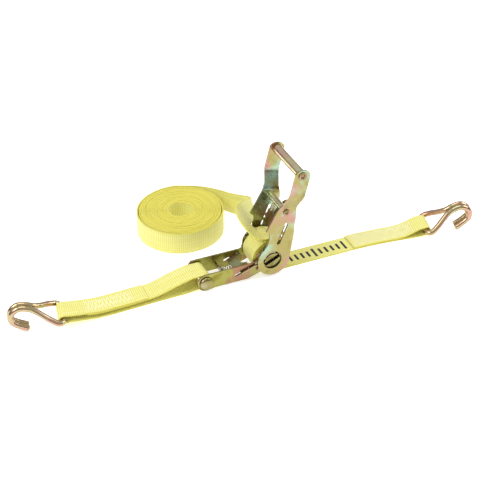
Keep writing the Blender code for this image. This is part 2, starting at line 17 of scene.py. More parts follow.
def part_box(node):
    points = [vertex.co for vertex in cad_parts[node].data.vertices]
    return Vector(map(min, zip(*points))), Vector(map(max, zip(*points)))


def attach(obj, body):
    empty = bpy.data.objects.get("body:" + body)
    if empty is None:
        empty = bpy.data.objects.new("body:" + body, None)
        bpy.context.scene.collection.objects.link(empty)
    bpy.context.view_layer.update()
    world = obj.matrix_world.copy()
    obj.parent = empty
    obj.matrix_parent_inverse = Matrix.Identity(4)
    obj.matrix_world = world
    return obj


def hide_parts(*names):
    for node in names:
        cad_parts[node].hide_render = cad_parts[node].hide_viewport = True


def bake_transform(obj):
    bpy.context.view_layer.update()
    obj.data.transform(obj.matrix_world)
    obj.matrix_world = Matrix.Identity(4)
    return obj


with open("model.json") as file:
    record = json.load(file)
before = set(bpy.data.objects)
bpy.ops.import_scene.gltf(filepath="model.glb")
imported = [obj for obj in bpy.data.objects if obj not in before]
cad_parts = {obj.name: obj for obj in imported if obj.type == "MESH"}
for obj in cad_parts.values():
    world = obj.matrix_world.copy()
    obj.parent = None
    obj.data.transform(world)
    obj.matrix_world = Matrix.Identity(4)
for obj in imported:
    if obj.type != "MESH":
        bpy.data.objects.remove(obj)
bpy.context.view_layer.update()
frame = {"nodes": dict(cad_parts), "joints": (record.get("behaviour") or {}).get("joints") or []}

MM = 0.001
JOINTS = {joint["name"]: joint for joint in frame["joints"]}

# %% [markdown]
# ## The camera
# A long lens from the front left, looking down at about a third of a right angle. A long lens
# keeps the two hooks nearly the same size, as a catalogue picture does. The camera is turned by
# giving it its own right, up and backward directions, which leaves no doubt about its roll.

# %% Camera
CAMERA_PLACE = Vector((-0.5698, -1.2034, 0.9467))
CAMERA_RIGHT = Vector((0.91196, -0.41028, 0.0)).normalized()
CAMERA_AHEAD = Vector((0.33845, 0.75230, -0.56523)).normalized()
CAMERA_LENS = 113.25

camera_up = CAMERA_RIGHT.cross(CAMERA_AHEAD)
camera = bpy.data.objects.new("camera", bpy.data.cameras.new("camera"))
camera.data.lens = CAMERA_LENS
camera.data.clip_end = 50.0
turn = Matrix((CAMERA_RIGHT, camera_up, -CAMERA_AHEAD)).transposed().to_4x4()
camera.matrix_world = Matrix.Translation(CAMERA_PLACE) @ turn
bpy.context.scene.collection.objects.link(camera)
bpy.context.scene.camera = camera
bpy.context.scene.view_settings.view_transform = "Standard"
print("camera looks down by", round(math.degrees(math.asin(-CAMERA_AHEAD.z)), 1), "degrees")

# %% [markdown]
# ## Small helpers for materials
# Every finish here is a small network of nodes. Two short functions place a node and set or link
# its inputs in one line, so that the recipes below read as recipes.

# %% Node helpers
def node(tree, kind, inputs=None, **settings):
    """One shader node, with its inputs set to a value or linked to a socket."""
    made = tree.nodes.new("ShaderNode" + kind)
    for key, value in settings.items():
        setattr(made, key, value)
    for key, value in (inputs or {}).items():
        if isinstance(value, bpy.types.NodeSocket):
            tree.links.new(value, made.inputs[key])
        else:
            made.inputs[key].default_value = value
    return made


def maths(tree, operation, first, second=0.0):
    """One sum, as the socket of its result."""
    return node(tree, "Math", {0: first, 1: second}, operation=operation).outputs[0]


def step_between(tree, value, low, high, to_low=0.0, to_high=1.0):
    """A value eased from one level to another."""
    ranged = node(tree, "MapRange", {"Value": value, "From Min": low, "From Max": high,
                                     "To Min": to_low, "To Max": to_high},
                  interpolation_type="SMOOTHSTEP")
    return ranged.outputs["Result"]


def blended(tree, share, first, second):
    """Two colours mixed by a share."""
    return node(tree, "Mix", {0: share, 6: first, 7: second}, data_type="RGBA").outputs[2]


def new_group(name, inputs, outputs):
    """An empty node group with named sockets; returns the group, its input and its output node."""
    group = bpy.data.node_groups.new(name, "ShaderNodeTree")
    for label, kind, default in inputs:
        socket = group.interface.new_socket(label, in_out="INPUT", socket_type="NodeSocket" + kind)
        if default is not None:
            socket.default_value = default
    for label, kind in outputs:
        group.interface.new_socket(label, in_out="OUTPUT", socket_type="NodeSocket" + kind)
    return group, group.nodes.new("NodeGroupInput"), group.nodes.new("NodeGroupOutput")


def placed_group(tree, group, inputs):
    """A node group put into a material with its own values."""
    return node(tree, "Group", inputs, node_tree=group)

# %% [markdown]
# ## Yellow zinc plating
# The ratchet's sheet steel is zinc plated and then dipped in a yellow chromate. The film is thinner
# than a wave of light in places, so it breaks into soft patches of olive gold, pink and mint.
# Painting each patch by hand would be slow and would not fit the next part. Two layers of slow
# noise choose between four tones instead, and a faster one breaks up their borders.

# %% The plating's colour patches
zinc_bloom, start, end = new_group(
    "zinc_bloom",
    [("Place", "Vector", None), ("Patch Size", "Float", 0.02), ("Gold", "Color", (0.4, 0.4, 0.15, 1)),
     ("Pink", "Color", (0.45, 0.3, 0.25, 1)), ("Mint", "Color", (0.4, 0.6, 0.45, 1)),
     ("Olive", "Color", (0.2, 0.15, 0.03, 1)), ("Mint Amount", "Float", 0.5)],
    [("Colour", "Color"), ("Grain", "Float")])
tree = zinc_bloom
per_metre = maths(tree, "DIVIDE", 1.0, start.outputs["Patch Size"])
spread = node(tree, "VectorMath", {0: start.outputs["Place"], "Scale": per_metre}, operation="SCALE")
spread = spread.outputs["Vector"]
shifted = node(tree, "VectorMath", {0: spread, 1: (7.3, 1.1, 4.9)}).outputs["Vector"]
slow = node(tree, "TexNoise", {"Vector": spread, "Scale": 0.9, "Detail": 3.0, "Distortion": 0.7})
second = node(tree, "TexNoise", {"Vector": shifted, "Scale": 0.8, "Detail": 3.0, "Distortion": 0.5})
fine = node(tree, "TexNoise", {"Vector": spread, "Scale": 6.0, "Detail": 4.0, "Roughness": 0.6})
broken = maths(tree, "ADD", slow.outputs["Fac"],
               maths(tree, "MULTIPLY", maths(tree, "SUBTRACT", fine.outputs["Fac"], 0.5), 0.16))
pink_share = step_between(tree, broken, 0.48, 0.6)
olive_share = step_between(tree, broken, 0.44, 0.3, 0.0, 0.75)
mint_share = maths(tree, "MULTIPLY", step_between(tree, second.outputs["Fac"], 0.47, 0.62),
                   start.outputs["Mint Amount"])
colour = blended(tree, pink_share, start.outputs["Gold"], start.outputs["Pink"])
colour = blended(tree, olive_share, colour, start.outputs["Olive"])
colour = blended(tree, mint_share, colour, start.outputs["Mint"])
tree.links.new(colour, end.inputs["Colour"])
tree.links.new(fine.outputs["Fac"], end.inputs["Grain"])
print("group", zinc_bloom.name, "with", len(tree.nodes), "nodes")

# %% [markdown]
# Handling rubs the plating thin along every edge. The Bevel node looks at the surface a little way
# round each point, and where its softened normal differs from the true one there is an edge. A
# second group gives the faint drag lines that rolling and stamping leave in sheet steel.

# %% Edge rub and drag lines
edge_rub, start, end = new_group("edge_rub", [("Reach", "Float", 0.0006)], [("Edge", "Float")])
tree = edge_rub
softened = node(tree, "Bevel", {"Radius": start.outputs["Reach"]}, samples=4)
true_normal = node(tree, "NewGeometry")
agree = node(tree, "VectorMath", {0: softened.outputs["Normal"], 1: true_normal.outputs["Normal"]},
             operation="DOT_PRODUCT")
tree.links.new(step_between(tree, agree.outputs["Value"], 0.995, 0.86), end.inputs["Edge"])

drag_lines, start, end = new_group(
    "drag_lines", [("Place", "Vector", None), ("Stretch", "Vector", (60.0, 60.0, 2200.0))],
    [("Height", "Float")])
tree = drag_lines
drawn = node(tree, "VectorMath", {0: start.outputs["Place"], 1: start.outputs["Stretch"]},
             operation="MULTIPLY")
lines = node(tree, "TexNoise", {"Vector": drawn.outputs["Vector"], "Scale": 1.0, "Detail": 3.0})
tree.links.new(lines.outputs["Fac"], end.inputs["Height"])
print("groups", edge_rub.name, "and", drag_lines.name)

# %% [markdown]
# The material itself holds the shader. It is bright metal whose colour comes from the patches, with
# a rosy rubbed line at the edges. The grain of the patches also makes the gloss uneven, which is
# what separates plated steel from coloured plastic.

# %% Plated metals
def linear(red, green, blue):
    """A colour from screen values of 11 to 255, as the renderer wants it."""
    return tuple(((value / 255 + 0.055) / 1.055) ** 2.4 for value in (red, green, blue)) + (1.0,)


def plated(name, shift, patch, tones, mint, gloss, edge_tone, stretch=(60.0, 60.0, 2200.0)):
    """A yellow zinc finish; tones are gold, pink, mint and olive."""
    material = bpy.data.materials.new(name)
    material.use_nodes = True
    tree = material.node_tree
    shader = tree.nodes["Principled BSDF"]
    where = node(tree, "TexCoord").outputs["Object"]
    moved = node(tree, "Mapping", {"Vector": where, "Location": shift}).outputs["Vector"]
    bloom = placed_group(tree, zinc_bloom, {
        "Place": moved, "Patch Size": patch, "Gold": tones[0], "Pink": tones[1], "Mint": tones[2],
        "Olive": tones[3], "Mint Amount": mint})
    edge = placed_group(tree, edge_rub, {}).outputs["Edge"]
    colour = blended(tree, edge, bloom.outputs["Colour"], edge_tone)
    tree.links.new(colour, shader.inputs["Base Color"])
    rough = step_between(tree, bloom.outputs["Grain"], 0.3, 0.7, gloss, gloss + 0.14)
    tree.links.new(rough, shader.inputs["Roughness"])
    shader.inputs["Metallic"].default_value = 1.0
    lines = placed_group(tree, drag_lines, {"Place": moved, "Stretch": stretch})
    bump = node(tree, "Bump", {"Height": lines.outputs["Height"], "Strength": 0.12,
                               "Distance": 0.05 * MM})
    tree.links.new(bump.outputs["Normal"], shader.inputs["Normal"])
    return material


SHEET_TONES = (linear(160, 150, 92), linear(178, 138, 122), linear(164, 204, 182),
               linear(112, 96, 32))
WORKS_TONES = (linear(146, 140, 82), linear(168, 134, 112), linear(158, 182, 150),
               linear(98, 84, 34))
ROSY_EDGE = linear(206, 162, 146)
plate_finish = plated("plated_sheet", (0.012, 0.0, 0.004), 0.030, SHEET_TONES, 0.65, 0.22, ROSY_EDGE)
frame_finish = plated("plated_frame", (0.031, 0.2, 0.013), 0.034,
                      (linear(150, 148, 76), linear(152, 116, 90), linear(140, 166, 108),
                       linear(112, 94, 22)), 0.35, 0.22, ROSY_EDGE)
works_finish = plated("plated_works", (0.05, 0.01, 0.02), 0.016, WORKS_TONES, 0.4, 0.24,
                      linear(214, 186, 160))
bar_finish = plated("plated_bars", (0.0, 0.03, 0.0), 0.03,
                    (linear(214, 202, 158), linear(216, 182, 160), linear(214, 216, 184),
                     linear(176, 160, 110)), 0.4, 0.16, linear(226, 196, 176),
                    (60.0, 2200.0, 60.0))
wire_finish = plated("plated_wire", (0.0, 0.0, 0.0), 0.022,
                     (linear(184, 162, 124), linear(190, 150, 130), linear(176, 184, 142),
                      linear(138, 118, 76)), 0.35, 0.13, linear(206, 176, 156))
spring_finish = plated("spring_wire", (0.0, 0.0, 0.0), 0.01,
                       (linear(196, 188, 160), linear(204, 180, 160), linear(190, 196, 170),
                        linear(140, 128, 96)), 0.3, 0.2, linear(214, 200, 180))
print("plated finishes:", len(bpy.data.materials))

# %% [markdown]
# ## Woven webbing
# Tie-down webbing is a flat polyester weave with a rib straight across it at every pick of the
# weft, and fine warp lines along it. The straps below carry a flattened map of themselves: U runs
# from one edge to the other, V counts metres along the strap. The weave is drawn in that map, so it
# follows every bend and twist and stays the same size on every strap.

# %% The weave
RIB_PITCH = 2.3 * MM
WARP_ENDS = 26.0

webbing_weave, start, end = new_group(
    "webbing_weave", [("Map", "Vector", None), ("Rib Pitch", "Float", RIB_PITCH)],
    [("Height", "Float"), ("Valley", "Float"), ("Fade", "Float")])
tree = webbing_weave
parts = node(tree, "SeparateXYZ", {0: start.outputs["Map"]})
side, run = parts.outputs["X"], parts.outputs["Y"]
wobble = node(tree, "TexNoise", {"Vector": start.outputs["Map"], "Scale": 90.0, "Detail": 2.0})
turns = maths(tree, "DIVIDE", run, start.outputs["Rib Pitch"])
turns = maths(tree, "ADD", turns, maths(tree, "MULTIPLY", wobble.outputs["Fac"], 0.35))
rib = maths(tree, "ABSOLUTE", maths(tree, "SINE", maths(tree, "MULTIPLY", turns, math.pi)))
warp = maths(tree, "SINE", maths(tree, "MULTIPLY", side, WARP_ENDS * math.tau))
woven = maths(tree, "ADD", maths(tree, "MULTIPLY", rib, 0.8), maths(tree, "MULTIPLY", warp, 0.05))
# painted shade: marks the valleys between the ribs, which the materials colour darker
valley_shade = step_between(tree, rib, 0.55, 0.05)
slow = node(tree, "TexNoise", {"Vector": start.outputs["Map"], "Scale": 14.0, "Detail": 4.0})
tree.links.new(woven, end.inputs["Height"])
tree.links.new(valley_shade, end.inputs["Valley"])
tree.links.new(slow.outputs["Fac"], end.inputs["Fade"])
print("weave: a rib every", RIB_PITCH / MM, "mm and", int(WARP_ENDS), "warp lines across")

# %% [markdown]
# The yarn is dyed a light yellow with a slight gloss. The valleys between the ribs carry painted
# shade: their colour is a darker, deeper yellow. Handling leaves some stretches paler. The tightened
# strap also carries a printed scale: a plain row of black bars, tall at every fifth one, inked straight
# on to the weave.

# %% Webbing materials
YARN = linear(233, 228, 130)
YARN_VALLEY_SHADE = linear(204, 194, 68)
# painted shade: the darker yellow put into the valleys between the ribs
YARN_PALE = linear(238, 235, 154)
YARN_EDGE = linear(217, 207, 80)
INK = linear(24, 26, 22)
PRINT_START, PRINT_PITCH, PRINT_COUNT = 36.0 * MM, 7.2 * MM, 10
PRINT_EVERY, PRINT_MIDDLE, PRINT_BAR = 5.0, 0.47, 0.4  # tall bar, place across, share of the pitch
PRINT_HALF, PRINT_TALLER = 0.2, 0.1                    # shares of the strap's width


def printed_scale(tree, place):
    """A mask of black bars in the strap's own map."""
    parts = node(tree, "SeparateXYZ", {0: place})
    count = maths(tree, "DIVIDE", maths(tree, "SUBTRACT", parts.outputs["Y"], PRINT_START), PRINT_PITCH)
    inside = maths(tree, "MULTIPLY", maths(tree, "GREATER_THAN", count, 0.0),
                   maths(tree, "LESS_THAN", count, float(PRINT_COUNT)))
    bar = maths(tree, "LESS_THAN", maths(tree, "FRACT", count), PRINT_BAR)
    turn_of_five = maths(tree, "MODULO", maths(tree, "ADD", count, 1.0), PRINT_EVERY)
    fifth = maths(tree, "LESS_THAN", turn_of_five, 1.0)
    reach = maths(tree, "ADD", maths(tree, "MULTIPLY", fifth, PRINT_TALLER), PRINT_HALF)
    offset = maths(tree, "ABSOLUTE", maths(tree, "SUBTRACT", parts.outputs["X"], PRINT_MIDDLE))
    tall = maths(tree, "LESS_THAN", offset, reach)
    return maths(tree, "MULTIPLY", maths(tree, "MULTIPLY", inside, bar), tall)


def webbing_material(name, printed=False):
    """Light yellow polyester webbing."""
    material = bpy.data.materials.new(name)
    material.use_nodes = True
    tree = material.node_tree
    shader = tree.nodes["Principled BSDF"]
    place = node(tree, "UVMap", uv_map="weave").outputs["UV"]
    weave = placed_group(tree, webbing_weave, {"Map": place, "Rib Pitch": RIB_PITCH})
    colour = blended(tree, step_between(tree, weave.outputs["Fade"], 0.4, 0.7), YARN, YARN_PALE)
    # painted shade: the valleys between the ribs are coloured a darker yellow
    colour = blended(tree, maths(tree, "MULTIPLY", weave.outputs["Valley"], 0.8), colour, YARN_VALLEY_SHADE)
    from_middle = maths(tree, "ABSOLUTE", maths(tree, "SUBTRACT", node(
        tree, "SeparateXYZ", {0: place}).outputs["X"], 0.5))
    selvage = step_between(tree, from_middle, 0.478, 0.496)
    colour = blended(tree, selvage, colour, YARN_EDGE)
    if printed:
        colour = blended(tree, printed_scale(tree, place), colour, INK)
    tree.links.new(colour, shader.inputs["Base Color"])
    shader.inputs["Roughness"].default_value = 0.55
    shader.inputs["Sheen Weight"].default_value = 0.12
    bump = node(tree, "Bump", {"Height": weave.outputs["Height"], "Strength": 0.8,
                               "Distance": 0.4 * MM})
    tree.links.new(bump.outputs["Normal"], shader.inputs["Normal"])
    return material


webbing_finish = webbing_material("yellow_webbing")
printed_finish = webbing_material("printed_webbing", printed=True)

# %% [markdown]
# Sewing thread is bonded polyester, paler than the webbing, with a twist that catches the light.
# Fine slanted bands in its bump stand for the plies.

# %% Thread
thread_finish = bpy.data.materials.new("sewing_thread")
thread_finish.use_nodes = True
tree = thread_finish.node_tree
shader = tree.nodes["Principled BSDF"]
where = node(tree, "TexCoord").outputs["Object"]
plies = node(tree, "TexWave", {"Vector": where, "Scale": 900.0, "Distortion": 1.0},
             bands_direction="DIAGONAL")
tone = blended(tree, plies.outputs["Fac"], linear(236, 232, 190), linear(250, 248, 226))
tree.links.new(tone, shader.inputs["Base Color"])
shader.inputs["Roughness"].default_value = 0.6
bump = node(tree, "Bump", {"Height": plies.outputs["Fac"], "Strength": 0.3, "Distance": 0.05 * MM})
tree.links.new(bump.outputs["Normal"], shader.inputs["Normal"])
print("finishes in all:", len(bpy.data.materials))

# %% [markdown]
# ## Eased copies of the stamped pieces
# The solid model's plates have knife-sharp edges. Stamped steel never does: each edge is eased by a
# few tenths of a millimetre, and that thin bright line is what makes it read as metal. The solid
# stays as it is. A copy is merged, its flat faces are joined into single faces, and a Bevel
# modifier rounds what is left. Weighted normals keep the big faces flat.

# %% Ease the edges of a copy
def show(piece, finish, body, slot, *nodes):
    """Put a finished piece in the scene, on its body, in place of its solids.

    A piece given a tuple of two bodies and their points is attached to neither: its place is baked into
    its mesh.
    """
    if piece.name not in bpy.context.scene.collection.objects:
        bpy.context.scene.collection.objects.link(piece)
    piece.data.materials.clear()
    piece.data.materials.append(finish)
    piece.data.shade_smooth()
    if isinstance(body, tuple):
        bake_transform(piece)
    else:
        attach(piece, body)
    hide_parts(*nodes)
    return piece


def rounded_edges(piece, width, angle=38.0):
    """Bevel every sharp edge and keep the flats flat."""
    bevel = piece.modifiers.new("eased", "BEVEL")
    bevel.width = width
    bevel.segments = 2
    bevel.limit_method = "ANGLE"
    bevel.angle_limit = math.radians(angle)
    piece.modifiers.new("flats", "WEIGHTED_NORMAL").keep_sharp = False


def eased(name, solid, finish, body, slot, width=0.3 * MM, change=None):
    """A merged copy of a solid with eased edges."""
    mesh = frame["nodes"][solid].data.copy()
    bm = bmesh.new()
    bm.from_mesh(mesh)
    bmesh.ops.remove_doubles(bm, verts=bm.verts, dist=0.002 * MM)
    bmesh.ops.dissolve_limit(bm, angle_limit=math.radians(1.0), verts=bm.verts, edges=bm.edges)
    if change:
        change(bm)
    bm.to_mesh(mesh)
    bm.free()
    piece = bpy.data.objects.new(name, mesh)
    show(piece, finish, body, slot, solid)
    rounded_edges(piece, width)
    return piece


for side in ("front", "rear"):
    eased(side + "_frame_plate", "frame_plate_" + side, frame_finish, "frame", "plated_steel")
    eased(side + "_toothed_wheel", "ratchet_wheel_" + side, works_finish, "mandrel", "plated_works",
          0.25 * MM)
for half in ("upper", "lower"):
    eased(half + "_half_shaft", "shaft_half_" + half, works_finish, "mandrel", "plated_works")
eased("cross_plate", "spring_seat", works_finish, "frame", "plated_steel")
eased("hex_nut", "tail_nut", works_finish, "frame", "plated_steel")
eased("sliding_lock", "lock_pawl", works_finish, "lock_pawl", "plated_works", 0.35 * MM)
eased("finger_release", "drive_pawl", works_finish, "drive_pawl", "plated_works", 0.35 * MM)

# %% [markdown]
# The handle's side plates are cranked outwards so that knuckles fit round the grip. A press bends
# sheet over a rounded tool, so the two bends are curves of a few millimetres and not creases. The
# copy is cut across near each bend, and each cut is moved on to the curve.

# %% Handle plates with rounded bends
HUB = Vector(JOINTS["handle_swing"]["pos_m"])
HANDLE_LEAN = math.radians(15.0)
HANDLE_UP = Vector((math.sin(HANDLE_LEAN), 0.0, math.cos(HANDLE_LEAN)))
BEND_LOW, BEND_HIGH, BEND_OUT = 63.0 * MM, 82.0 * MM, 10.8 * MM
BEND_REACH = 3.5 * MM


def bend_correction(height):
    """How far the rounded bend lies outside the creased one."""
    slope = BEND_OUT / (BEND_HIGH - BEND_LOW)
    near_low = max(0.0, BEND_REACH - abs(height - BEND_LOW))
    near_high = max(0.0, BEND_REACH - abs(height - BEND_HIGH))
    return slope * (near_low ** 2 - near_high ** 2) / (4 * BEND_REACH)


def round_the_bends(bm):
    """Cut across the bends and move the cuts on to a curve."""
    for bend in (BEND_LOW, BEND_HIGH):
        for step in range(-4, 5):
            level = HUB + HANDLE_UP * (bend + step * BEND_REACH / 4)
            bmesh.ops.bisect_plane(bm, geom=bm.verts[:] + bm.edges[:] + bm.faces[:], plane_co=level,
                                   plane_no=HANDLE_UP, dist=0.001 * MM)
    for vert in bm.verts:
        outward = 1.0 if vert.co.y > 0 else -1.0
        vert.co.y += outward * bend_correction((vert.co - HUB).dot(HANDLE_UP))


for side in ("front", "rear"):
    piece = eased(side + "_handle_plate", "handle_plate_" + side, plate_finish, "handle",
                  "plated_steel", 0.35 * MM, round_the_bends)
    print(piece.name, "has", len(piece.data.polygons), "faces before its edges are eased")

# %% [markdown]
# ## Turned pieces
# The grip, the crossbar, their rivets and the tail bolt are round. Each is drawn as half of its
# outline, a radius and a distance along the bar at every corner, and spun about the bar.
# Centres and lengths are measured from the solids.

# %% Spin a profile
SPIN_STEPS = 48


def middle(solid):
    """The centre of a solid and half its size."""
    low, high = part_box(solid)
    return (low + high) / 2, (high - low) / 2


def spun(name, solid, profile, closed, finish, body, slot, ease=0.25 * MM):
    """A profile of (radius, distance along Y) spun about the solid's own middle."""
    centre, _ = middle(solid)
    bm = bmesh.new()
    verts = [bm.verts.new((radius, reach, 0.0)) for radius, reach in profile]
    edges = [bm.edges.new(pair) for pair in zip(verts, verts[1:])]
    if closed:
        edges.append(bm.edges.new((verts[-1], verts[0])))
    bmesh.ops.spin(bm, geom=verts + edges, cent=(0, 0, 0), axis=(0, 1, 0), dvec=(0, 0, 0),
                   angle=math.tau, steps=SPIN_STEPS, use_merge=True, use_duplicate=False)
    bmesh.ops.remove_doubles(bm, verts=bm.verts, dist=0.001 * MM)
    bmesh.ops.recalc_face_normals(bm, faces=bm.faces)
    bmesh.ops.translate(bm, verts=bm.verts, vec=(centre.x, 0.0, centre.z))
    mesh = bpy.data.meshes.new(name)
    bm.to_mesh(mesh)
    bm.free()
    piece = bpy.data.objects.new(name, mesh)
    show(piece, finish, body, slot, solid)
    rounded_edges(piece, ease, angle=50.0)
    return piece


def tube(name, solid, bore, finish, body, slot):
    """A plain tube as long and as thick as its solid."""
    _, half = middle(solid)
    outer, reach = half.x, half.y
    return spun(name, solid, [(outer, reach), (outer, -reach), (bore, -reach), (bore, reach)], True,
                finish, body, slot)


tube("grip_bar", "grip_tube", 3.4 * MM, bar_finish, "handle", "plated_steel")
tube("cross_bar", "crossbar_tube", 2.6 * MM, bar_finish, "handle", "plated_steel")
tube("tail_roller", "tail_sleeve", 4.3 * MM, bar_finish, "frame", "plated_steel")

# %% [markdown]
# The rivets are set with a hollow punch, which leaves a rolled rim and a deep dish in the middle.
# The dish is the dark dot with a bright ring at each end of the bars.

# %% Rivets and the tail bolt
def dished_rivet(name, solid, shank, head, seat_depth, dish):
    """A rivet with a rolled rim and a dished middle at both ends."""
    _, half = middle(solid)
    top, seat = half.y, half.y - seat_depth
    upper = [(0.0, top - dish), (dish * 0.55, top - dish), (dish * 0.95, top - dish * 0.75),
             (dish * 1.12, top - dish * 0.3), (dish * 1.3, top - 0.05 * MM), (head * 0.78, top),
             (head * 0.93, top - seat_depth * 0.25), (head, top - seat_depth * 0.6), (head, seat),
             (shank, seat)]
    lower = [(radius, -reach) for radius, reach in reversed(upper)]
    return spun(name, solid, upper + lower, False, works_finish, "handle", "plated_steel",
                ease=0.12 * MM)


dished_rivet("grip_rivet_dished", "grip_rivet", 2.9 * MM, 4.6 * MM, 1.5 * MM, 2.1 * MM)
dished_rivet("cross_rivet_dished", "crossbar_rivet", 2.2 * MM, 3.5 * MM, 1.2 * MM, 1.6 * MM)

BOLT_HEAD, BOLT_END = -16.3 * MM, 21.3 * MM
spun("tail_bolt_domed", "tail_bolt",
     [(0.0, BOLT_END), (3.3 * MM, BOLT_END), (4.0 * MM, BOLT_END - 0.7 * MM), (4.0 * MM, BOLT_HEAD),
      (7.2 * MM, BOLT_HEAD), (7.2 * MM, BOLT_HEAD - 1.3 * MM), (6.4 * MM, BOLT_HEAD - 2.3 * MM),
      (5.0 * MM, BOLT_HEAD - 3.0 * MM), (3.0 * MM, BOLT_HEAD - 3.45 * MM), (0.0, BOLT_HEAD - 3.6 * MM)],
     False, works_finish, "frame", "plated_steel", ease=0.15 * MM)
print("turned pieces done")

# %% [markdown]
# ## Bent wire
# Hooks, springs and clips are bent from round wire. A curve with a round bevel is the natural way
# to draw wire: only its centre line has to be right. It is then made a mesh, so that the sheared
# ends can be chamfered.

# %% Wire along a centre line
def smooth_curve(knots, count):
    """Evenly eased points through every knot."""
    knots = [Vector(knot) for knot in knots]
    ends = [2 * knots[0] - knots[1]] + knots + [2 * knots[-1] - knots[-2]]
    points = []
    for index in range(1, len(ends) - 2):
        p0, p1, p2, p3 = ends[index - 1:index + 3]
        for step in range(count):
            t = step / count
            points.append(0.5 * (2 * p1 + (p2 - p0) * t + (2 * p0 - 5 * p1 + 4 * p2 - p3) * t ** 2
                                 + (3 * p1 - p0 - 3 * p2 + p3) * t ** 3))
    return points + [knots[-1]]


def round_curve(name, runs, radius, sides):
    """A mesh of round wire along one or more lists of points."""
    curve = bpy.data.curves.new(name, "CURVE")
    curve.dimensions = "3D"
    curve.bevel_depth = radius
    curve.bevel_resolution = (sides - 4) // 2
    curve.use_fill_caps = True
    for points in runs:
        spline = curve.splines.new("POLY")
        spline.points.add(len(points) - 1)
        for point, place in zip(spline.points, points):
            point.co = (*place, 1.0)
    holder = bpy.data.objects.new(name + "_line", curve)
    bpy.context.scene.collection.objects.link(holder)
    bpy.context.view_layer.update()
    mesh = bpy.data.meshes.new_from_object(holder.evaluated_get(bpy.context.evaluated_depsgraph_get()))
    bpy.data.objects.remove(holder, do_unlink=True)
    bpy.data.curves.remove(curve)
    mesh.name = name
    return mesh


def wire(name, points, radius, sides, chamfer, finish, body, slot, *solids):
    """One piece of wire with chamfered ends."""
    mesh = round_curve(name, [points], radius, sides)
    bm = bmesh.new()
    bm.from_mesh(mesh)
    bmesh.ops.remove_doubles(bm, verts=bm.verts, dist=0.001 * MM)
    bmesh.ops.recalc_face_normals(bm, faces=bm.faces)
    rims = [edge for edge in bm.edges if len(edge.link_faces) == 2
            and edge.calc_face_angle() > math.radians(70)]
    bmesh.ops.bevel(bm, geom=rims, offset=chamfer, segments=2, profile=0.5, affect="EDGES",
                    material=-1)
    bm.to_mesh(mesh)
    bm.free()
    piece = bpy.data.objects.new(name, mesh)
    show(piece, finish, body, slot, *solids)
    piece.modifiers.new("flats", "WEIGHTED_NORMAL")
    return piece

# %% [markdown]
# Each hook is one length of quarter-inch wire. It starts as the bar that the strap's loop holds,
# turns in at both sides until the two legs touch, and then both legs bend over together into the
# hook. Half of the line is drawn and the other half is its mirror image. The joint that lets the
# hook swing gives its place and the lie of its bar.

# %% The two hooks
WIRE_RADIUS = 3.2 * MM
HOOK_HALF = [(0, 0, 0), (0, 6.5, 0), (0, 13.0, 0), (1.8, 16.2, 0.3), (5.5, 17.4, 1.8), (12, 14, 6),
             (19, 8.4, 10.8), (25.5, 4.2, 15.6), (32, 3.35, 20), (40, 3.3, 22.6), (46.5, 3.3, 20.4),
             (50.8, 3.3, 15.2), (50.6, 3.3, 8.6), (46.6, 3.3, 3.6), (41.5, 3.3, -0.4),
             (36.5, 3.3, -4.2)]


def hook(name, solid, joint, pitch, facing, body):
    """A double hook on its joint's bar; pitch lifts its nose."""
    axis = JOINTS[joint]["axis"]
    yaw = math.atan2(-axis[0], axis[1])
    half = smooth_curve([Vector(knot) * MM for knot in HOOK_HALF], 8)
    line = [Vector((point.x, -point.y, point.z)) for point in reversed(half[1:])] + half
    place = Matrix.Translation(JOINTS[joint]["pos_m"]) @ Matrix.Rotation(yaw, 4, "Z")
    if facing < 0:
        place = place @ Matrix.Rotation(math.pi, 4, "Z")
    place = place @ Matrix.Rotation(math.radians(-pitch), 4, "Y")
    return wire(name, [place @ point for point in line], WIRE_RADIUS, 20, 0.7 * MM, wire_finish, body,
                "plated_wire", solid)


near_hook = hook("near_hook_wire", "hook_left", "near_hook_swing", -11.0, -1, "near_hook")
hook("far_hook_wire", "hook_right", "far_hook_swing", -1.9, 1, "far_hook")
print("hook wire:", len(near_hook.data.polygons), "faces each")

# %% [markdown]
# The springs are compression springs. Their end coils lie close together so that they sit flat,
# which the pitch of the helix follows here. Each spring's axis is the slide of its pawl, and its
# length and middle are measured from the solid along that axis. Each spring is left fixed where it
# is drawn, attached neither to its seat nor to its pawl.

# %% Springs and clips
SPRING_WIRE = 0.5 * MM


def spring(name, solid, joint, radius, turns, seat_body, pawl_body, pawl_is_low):
    """A compression spring with closed ends along its pawl's slide, between its seat and its pawl, left
    fixed where it is drawn.
    """
    axis = Vector(JOINTS[joint]["axis"]).normalized()
    corners = [vert.co for vert in frame["nodes"][solid].data.vertices]
    reaches = [corner.dot(axis) for corner in corners]
    low, high = min(reaches), max(reaches)
    centre, _ = middle(solid)
    base = centre - axis * centre.dot(axis)
    side = Vector((0.0, 1.0, 0.0))
    other = axis.cross(side)
    count = int(turns * 20)
    points = []
    for step in range(count + 1):
        share = step / count
        eased_share = share - 0.1 * math.sin(math.tau * share)
        angle = math.tau * turns * share
        height = low + SPRING_WIRE + (high - low - 2 * SPRING_WIRE) * eased_share
        points.append(base + axis * height + side * radius * math.cos(angle)
                      + other * radius * math.sin(angle))
    seat_reach, pawl_reach = (high, low) if pawl_is_low else (low, high)
    held = (seat_body, pawl_body, base + axis * seat_reach, base + axis * pawl_reach)
    wire(name, points, SPRING_WIRE, 8, 0.12 * MM, spring_finish, held, "spring_wire", solid)


spring("lock_return_spring", "lock_spring", "lock_pawl_slide", 3.1 * MM, 5.5, "frame", "lock_pawl",
       True)
for side in ("front", "rear"):
    spring(side + "_release_spring", "drive_spring_" + side, "drive_pawl_slide", 2.3 * MM, 7.0,
           "handle", "drive_pawl", False)

